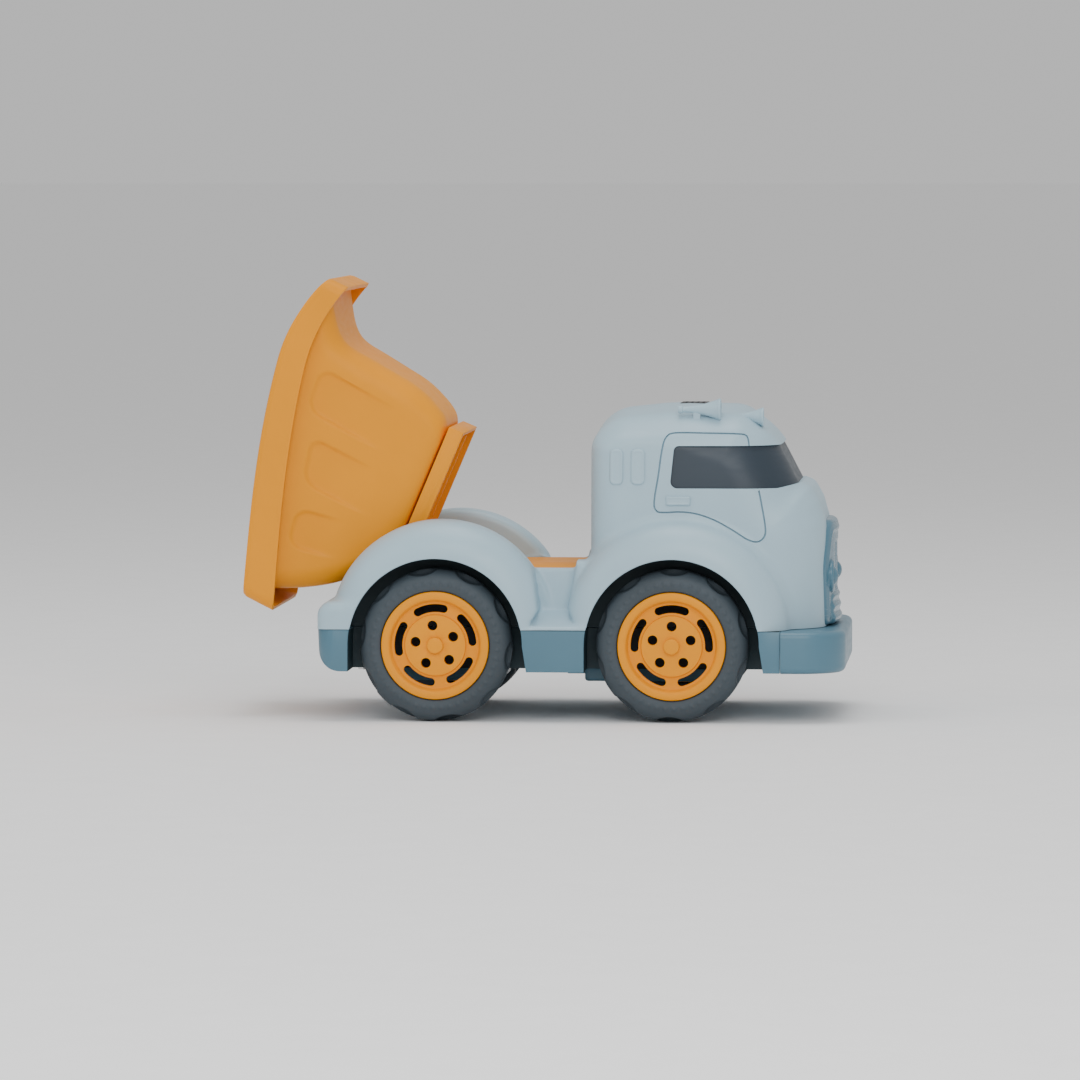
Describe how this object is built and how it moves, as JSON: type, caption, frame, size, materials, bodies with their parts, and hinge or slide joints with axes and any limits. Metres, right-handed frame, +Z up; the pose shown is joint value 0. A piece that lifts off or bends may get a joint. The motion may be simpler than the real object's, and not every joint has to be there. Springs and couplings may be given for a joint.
{
  "type": "push along toy dump truck",
  "caption": "Moulded toy dump truck with a rounded cab, bulged fenders, rolling wheelsets and a bucket that tips back about a rear hinge pin.",
  "frame": {"origin": "centre of the whole truck's footprint box on the floor, with the bucket raised", "axes": "+X the way the truck drives, +Y to its left side, +Z up"},
  "size_m": [0.3034, 0.1548, 0.2221],
  "materials": {
    "shell_light_blue": "soft satin moulded plastic, fine grain",
    "tray_dark_blue": "satin moulded plastic",
    "grille_blue": "smoother, slightly glossy moulded plastic",
    "tipper_yellow": "satin moulded plastic, mustard yellow",
    "tyre_rubber": "soft matt rubber",
    "window_dark": "satin opaque dark plastic",
    "vent_black": "matt black plastic",
    "steel": "bright drawn steel"
  },
  "bodies": {
    "chassis": {"upper_body_shell": "shell_light_blue", "long_horn": "shell_light_blue", "short_horn": "shell_light_blue", "under_tray": "tray_dark_blue", "front_bumper": "tray_dark_blue", "front_axle_guard": "tray_dark_blue", "rear_axle_guard": "tray_dark_blue", "front_grille": "grille_blue", "deck_plate": "tipper_yellow", "window_band": "window_dark", "roof_vent": "vent_black", "tipper_hinge_pin": "steel", "body_screw_1": "steel", "guard_screw_1": "steel", "body_screw_2": "steel", "guard_screw_2": "steel", "body_screw_3": "steel", "guard_screw_3": "steel", "body_screw_4": "steel", "guard_screw_4": "steel"},
    "tipper": {"tipper_bucket": "tipper_yellow", "tipper_base": "tipper_yellow"},
    "rear_wheelset": {"rear_axle": "steel", "rear_left_tyre": "tyre_rubber", "rear_left_hub": "tipper_yellow", "rear_left_axle_cap": "tipper_yellow", "rear_right_tyre": "tyre_rubber", "rear_right_hub": "tipper_yellow", "rear_right_axle_cap": "tipper_yellow"},
    "front_wheelset": {"front_axle": "steel", "front_left_tyre": "tyre_rubber", "front_left_hub": "tipper_yellow", "front_left_axle_cap": "tipper_yellow", "front_right_tyre": "tyre_rubber", "front_right_hub": "tipper_yellow", "front_right_axle_cap": "tipper_yellow"}
  },
  "joints": [
    {"name": "tipper_hinge", "type": "hinge", "parent": "chassis", "child": "tipper", "pos_m": [-0.0715, 0, 0.079], "axis": [0, 1, 0], "range_deg": [0, 67]},
    {"name": "rear_wheels", "type": "hinge", "parent": "chassis", "child": "rear_wheelset", "pos_m": [-0.0527, 0, 0.0381], "axis": [0, 1, 0], "continuous": true},
    {"name": "front_wheels", "type": "hinge", "parent": "chassis", "child": "front_wheelset", "pos_m": [0.0655, 0, 0.0381], "axis": [0, 1, 0], "continuous": true}
  ]
}
